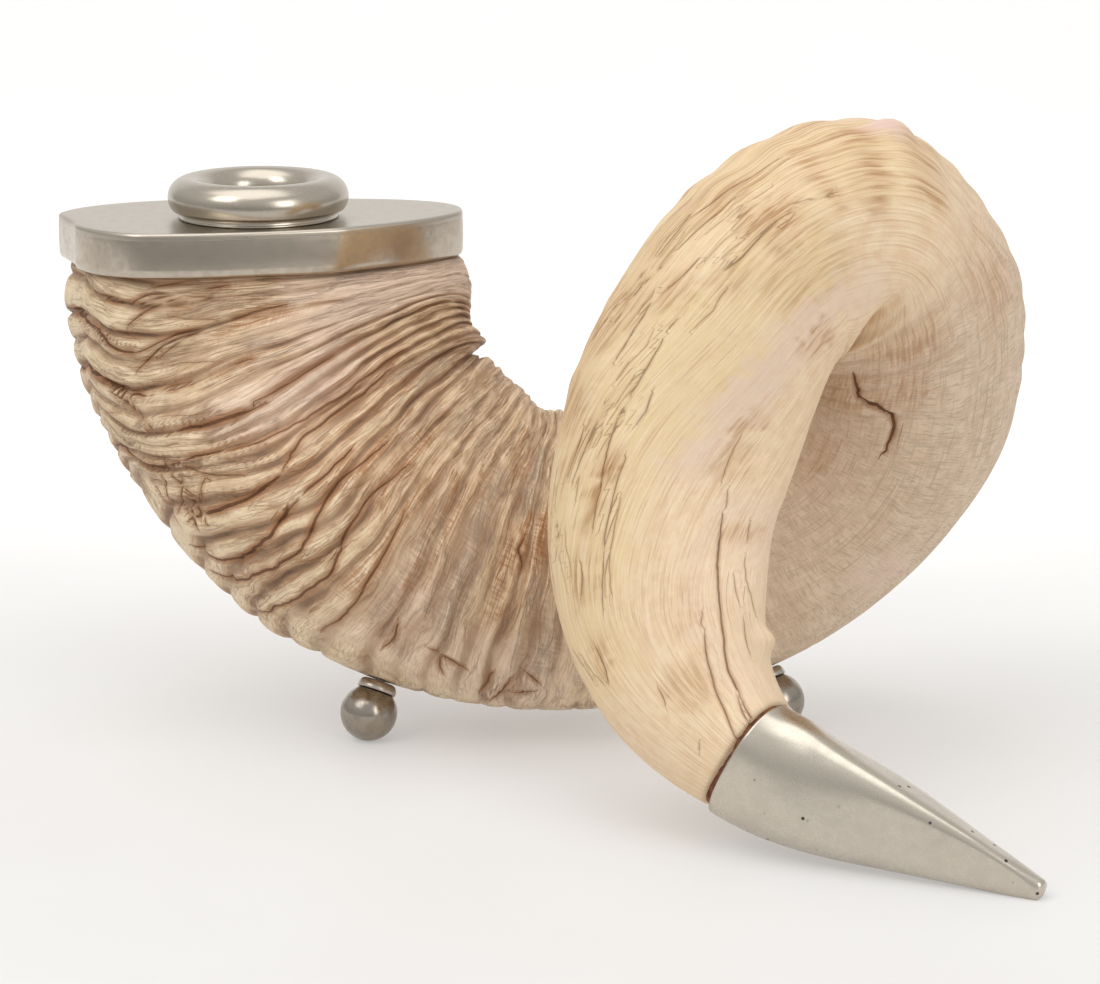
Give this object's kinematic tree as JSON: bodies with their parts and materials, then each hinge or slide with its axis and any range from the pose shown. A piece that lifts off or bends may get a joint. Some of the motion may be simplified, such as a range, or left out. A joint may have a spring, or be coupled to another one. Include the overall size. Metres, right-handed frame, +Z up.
{
  "type": "ram's horn candlestick",
  "caption": "Curled ram's horn set as a table candlestick, with a metal mouth cap carrying a ring candle holder, a conical metal tip and ball feet.",
  "frame": {"origin": "centre of the object's bounding box, on the table under it", "axes": "+X from the capped mouth towards the tight turn and the tip, the longest direction; +Y to the back, away from the tip; +Z up"},
  "size_m": [0.27, 0.2034, 0.1793],
  "materials": {
    "horn_keratin": "natural horn, dry and wrinkled, cream to brown",
    "nickel_satin": "satin nickel plate",
    "nickel_polished": "polished nickel plate",
    "nickel_dark": "tarnished nickel plate",
    "plug_wood": "plain hardwood",
    "bedding_brown": "dull brown set bedding",
    "stud_steel": "plain steel"
  },
  "bodies": {
    "root": {"horn": "horn_keratin", "cap_plate": "nickel_satin", "cap_band": "nickel_satin", "candle_ring": "nickel_polished", "candle_socket": "nickel_satin", "mouth_plug": "plug_wood", "tip_cap": "nickel_satin", "tip_adhesive": "bedding_brown", "foot_ball_front": "nickel_dark", "foot_ball_rear": "nickel_dark", "foot_pad_front": "nickel_satin", "foot_pad_rear": "nickel_satin", "foot_stud_front": "stud_steel", "foot_stud_rear": "stud_steel"}
  },
  "joints": []
}
